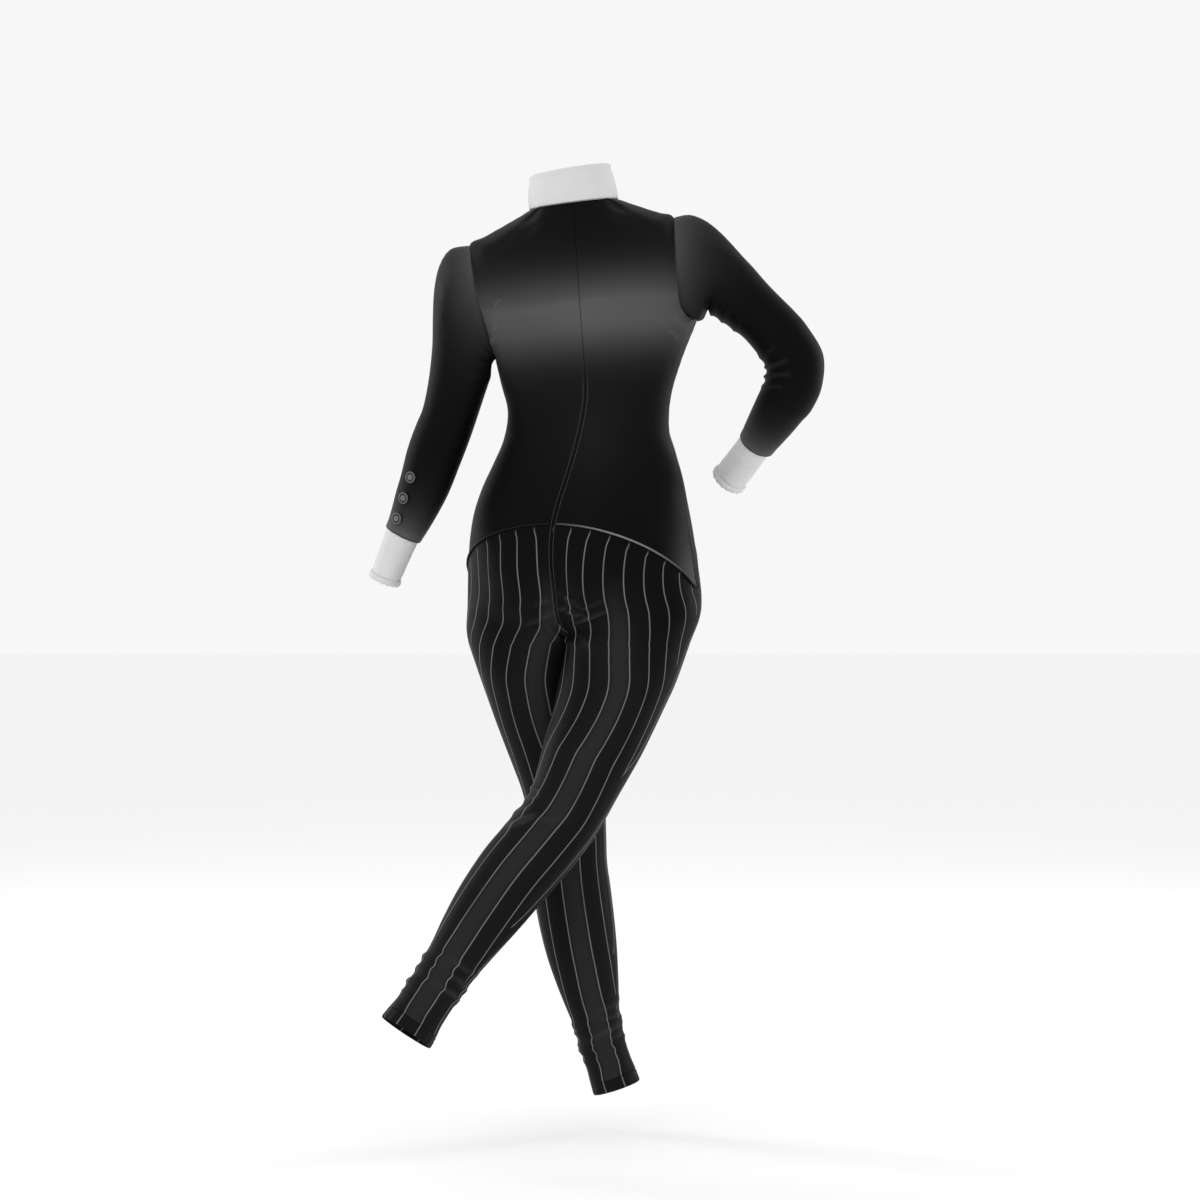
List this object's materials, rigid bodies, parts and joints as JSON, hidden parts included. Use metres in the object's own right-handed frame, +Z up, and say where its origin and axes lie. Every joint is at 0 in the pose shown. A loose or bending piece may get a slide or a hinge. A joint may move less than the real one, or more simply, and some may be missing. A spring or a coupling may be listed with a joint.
{
  "type": "cheer uniform",
  "caption": "Full-length tuxedo-style cheer unitard in its worn shape: black bodice with tailcoat hem, pinstriped leggings, white stand collar, shirt front and cuffs.",
  "frame": {"origin": "middle of the neck opening, at the height of the neck seam at the centre back", "axes": "+Z up, +Y the way the wearer faces, +X to the wearer's right"},
  "size_m": [0.6927, 0.3904, 1.4355],
  "materials": {
    "bodice_fabric": "stretch jersey with a printed shade, soft sheen",
    "sleeve_fabric": "stretch jersey, soft sheen",
    "pinstripe_fabric": "stretch jersey printed with fine grey pinstripes",
    "shirt_fabric": "white stretch jersey, matt",
    "lapel_satin": "satin-faced stretch",
    "piping": "satin piping",
    "button": "domed plastic, satin gloss",
    "zip_nylon": "white nylon coil and tape",
    "zip_metal": "nickel-plated"
  },
  "bodies": {
    "root": {"ankle_band_left": "pinstripe_fabric", "ankle_band_right": "pinstripe_fabric", "bodice_back_left": "bodice_fabric", "bodice_front_left": "bodice_fabric", "bodice_back_right": "bodice_fabric", "bodice_front_right": "bodice_fabric", "sleeve_left_cap": "sleeve_fabric", "sleeve_right_cap": "sleeve_fabric", "legging_back_left": "pinstripe_fabric", "legging_front_left": "pinstripe_fabric", "legging_back_right": "pinstripe_fabric", "legging_front_right": "pinstripe_fabric", "hem_piping_left": "piping", "hem_piping_right": "piping", "collar": "shirt_fabric", "shirt_front_left": "shirt_fabric", "lapel_left": "lapel_satin", "zip_tape_left": "zip_nylon", "zip_teeth_left": "zip_nylon", "shirt_front_right": "shirt_fabric", "lapel_right": "lapel_satin", "zip_tape_right": "zip_nylon", "zip_teeth_right": "zip_nylon", "zip_top_stop_left": "zip_metal", "zip_top_stop_right": "zip_metal", "zip_bottom_stop": "zip_metal", "jacket_button": "button", "collar_hook": "zip_metal", "collar_eye": "zip_metal"},
    "zip_slider": {"zip_slider": "zip_metal"},
    "zip_pull": {"zip_pull": "zip_metal"},
    "arm_left": {"sleeve_left_upper": "sleeve_fabric", "sleeve_left_elbow": "sleeve_fabric"},
    "forearm_left": {"sleeve_left_fore": "sleeve_fabric", "cuff_left": "shirt_fabric", "cuff_band_left": "shirt_fabric", "sleeve_button_left_1": "button", "sleeve_button_left_2": "button", "sleeve_button_left_3": "button"},
    "arm_right": {"sleeve_right_upper": "sleeve_fabric", "sleeve_right_elbow": "sleeve_fabric"},
    "forearm_right": {"sleeve_right_fore": "sleeve_fabric", "cuff_right": "shirt_fabric", "cuff_band_right": "shirt_fabric", "sleeve_button_right_1": "button", "sleeve_button_right_2": "button", "sleeve_button_right_3": "button"}
  },
  "joints": [
    {"name": "zip_travel", "type": "hinge", "parent": "root", "child": "zip_slider", "pos_m": [0.0123, -0.222, -0.238], "axis": [-0.9982, 0, -0.0599], "range_deg": [0, 33]},
    {"name": "zip_pull_swing", "type": "hinge", "parent": "zip_slider", "child": "zip_pull", "pos_m": [0.00227, 0.08072, -0.06779], "axis": [0.9982, 0, 0.0599], "range_deg": [0, 95]},
    {"name": "shoulder_left", "type": "hinge", "parent": "root", "child": "arm_left", "pos_m": [-0.176, 0, -0.185], "axis": [0, 1, 0], "range_deg": [0, 35], "deforming": ["sleeve_left_cap"]},
    {"name": "elbow_left", "type": "hinge", "parent": "arm_left", "child": "forearm_left", "pos_m": [-0.207, -0.005, -0.35], "axis": [1, 0, 0], "range_deg": [0, 70], "deforming": ["sleeve_left_elbow"]},
    {"name": "shoulder_right", "type": "hinge", "parent": "root", "child": "arm_right", "pos_m": [0.205, 0, -0.12], "axis": [0, -1, 0], "range_deg": [0, 30], "deforming": ["sleeve_right_cap"]},
    {"name": "elbow_right", "type": "hinge", "parent": "arm_right", "child": "forearm_right", "pos_m": [0.318, -0.034, -0.243], "axis": [0, -1, 0], "range_deg": [0, 45], "deforming": ["sleeve_right_elbow"]}
  ]
}
